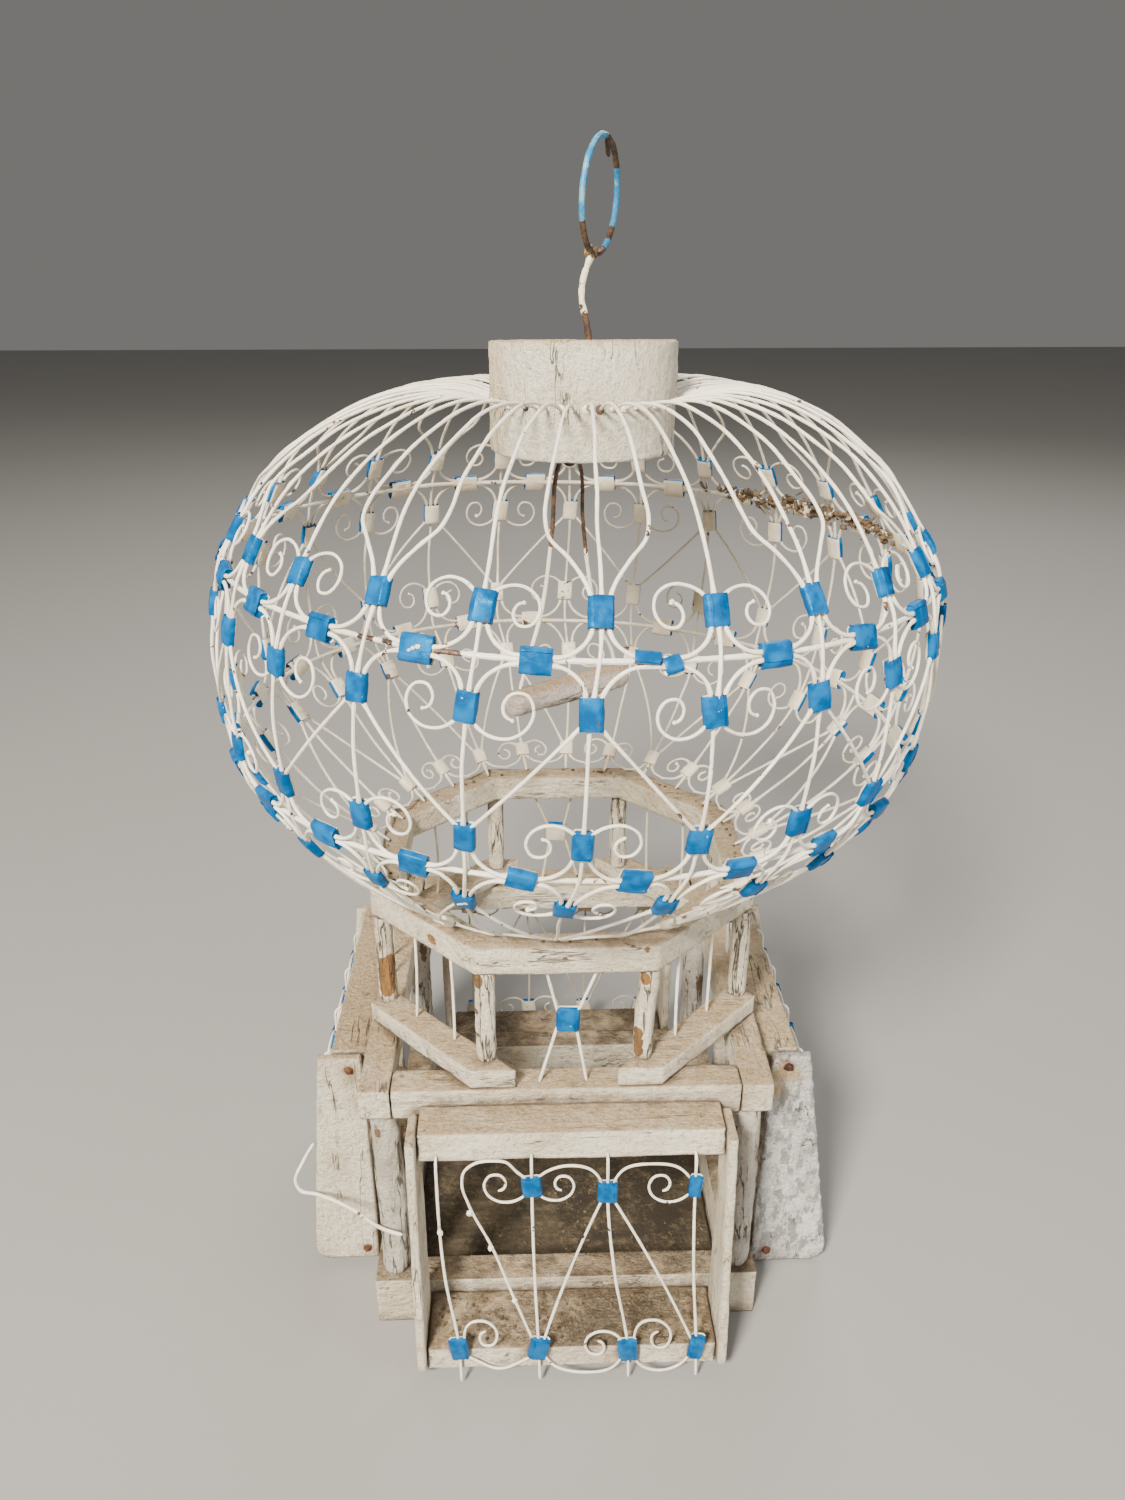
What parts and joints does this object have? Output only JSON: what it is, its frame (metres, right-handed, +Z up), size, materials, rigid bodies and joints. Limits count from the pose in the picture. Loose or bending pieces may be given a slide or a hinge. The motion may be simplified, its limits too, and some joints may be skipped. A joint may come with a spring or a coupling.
{
  "type": "birdcage",
  "caption": "Wood-and-wire birdcage: square wooden body with four projecting grilled boxes, a posted neck, an onion-shaped wire dome, a hanging ring and a swinging perch.",
  "frame": {"origin": "middle of the underside of the base, on the surface the cage stands on", "axes": "+Z up to the hanging ring, -Y out of the front box, +X to the viewer's right when facing the front"},
  "size_m": [0.3135, 0.3118, 0.5186],
  "materials": {
    "white_wood": "chalky white paint, worn and dusty",
    "bare_wood": "bare or nearly bare wood, dirty",
    "white_wire": "white enamel, chipped",
    "blue_paint": "glossy blue enamel",
    "rusty_wire": "rusted steel wire"
  },
  "bodies": {
    "cage": {"back_box_bottom_board": "white_wood", "back_box_panel_1": "white_wood", "back_box_panel_2": "white_wood", "back_box_top_board": "white_wood", "back_grille": "white_wire", "base_frame": "white_wood", "corner_post_back_left": "bare_wood", "corner_post_back_right": "bare_wood", "corner_post_front_left": "bare_wood", "corner_post_front_right": "bare_wood", "diagonal_bar_back_left": "white_wood", "diagonal_bar_back_right": "white_wood", "diagonal_bar_front_left": "white_wood", "diagonal_bar_front_right": "white_wood", "dome_panel_1": "white_wire", "dome_panel_2": "white_wire", "dome_panel_3": "white_wire", "dome_panel_4": "white_wire", "dome_panel_5": "white_wire", "dome_panel_6": "white_wire", "floor_board": "bare_wood", "front_box_bottom_board": "white_wood", "front_box_panel_1": "white_wood", "front_box_panel_2": "white_wood", "front_box_top_board": "white_wood", "left_box_bottom_board": "white_wood", "left_box_panel_1": "white_wood", "left_box_panel_2": "white_wood", "left_box_top_board": "white_wood", "lower_hoop": "white_wire", "octagon_ring": "white_wood", "right_box_bottom_board": "white_wood", "right_box_panel_1": "white_wood", "right_box_panel_2": "white_wood", "right_box_top_board": "white_wood", "right_grille": "white_wire", "round_post_back_left_end": "white_wood", "round_post_back_left_side": "white_wood", "round_post_back_right_end": "white_wood", "round_post_back_right_side": "white_wood", "round_post_front_left_end": "white_wood", "round_post_front_left_side": "white_wood", "round_post_front_right_end": "white_wood", "round_post_front_right_side": "white_wood", "swing_staple": "rusty_wire", "top_block": "white_wood", "top_rail_back": "white_wood", "top_rail_front": "white_wood", "top_rail_left": "white_wood", "top_rail_right": "white_wood", "upper_hoop": "white_wire"},
    "hanger": {"hanger_shank": "rusty_wire", "hanger_ring": "blue_paint"},
    "swing": {"swing_wire": "white_wire", "perch": "bare_wood"},
    "front_grille": {"front_grille": "white_wire"},
    "left_grille": {"left_grille": "white_wire"},
    "latch": {"latch_wire": "white_wire"}
  },
  "joints": [
    {"name": "hanger_swivel", "type": "hinge", "parent": "cage", "child": "hanger", "pos_m": [0.0113, 0, 0.425], "axis": [0, 0, 1], "continuous": true},
    {"name": "perch_swing", "type": "hinge", "parent": "cage", "child": "swing", "pos_m": [0.0036, 0, 0.3986], "axis": [0.8151, 0.5793, 0], "range_deg": [-40, 40]},
    {"name": "front_grille_hinge", "type": "hinge", "parent": "cage", "child": "front_grille", "pos_m": [0.0015, -0.1152, 0.1255], "axis": [-1, 0, 0], "range_deg": [0, 95]},
    {"name": "left_grille_hinge", "type": "hinge", "parent": "cage", "child": "left_grille", "pos_m": [-0.1152, 0.008, 0.1255], "axis": [0, 1, 0], "range_deg": [0, 95]},
    {"name": "latch_turn", "type": "hinge", "parent": "left_grille", "child": "latch", "pos_m": [-0.1256, -0.0455, 0.07], "axis": [0, 0, -1], "range_deg": [0, 60]}
  ]
}
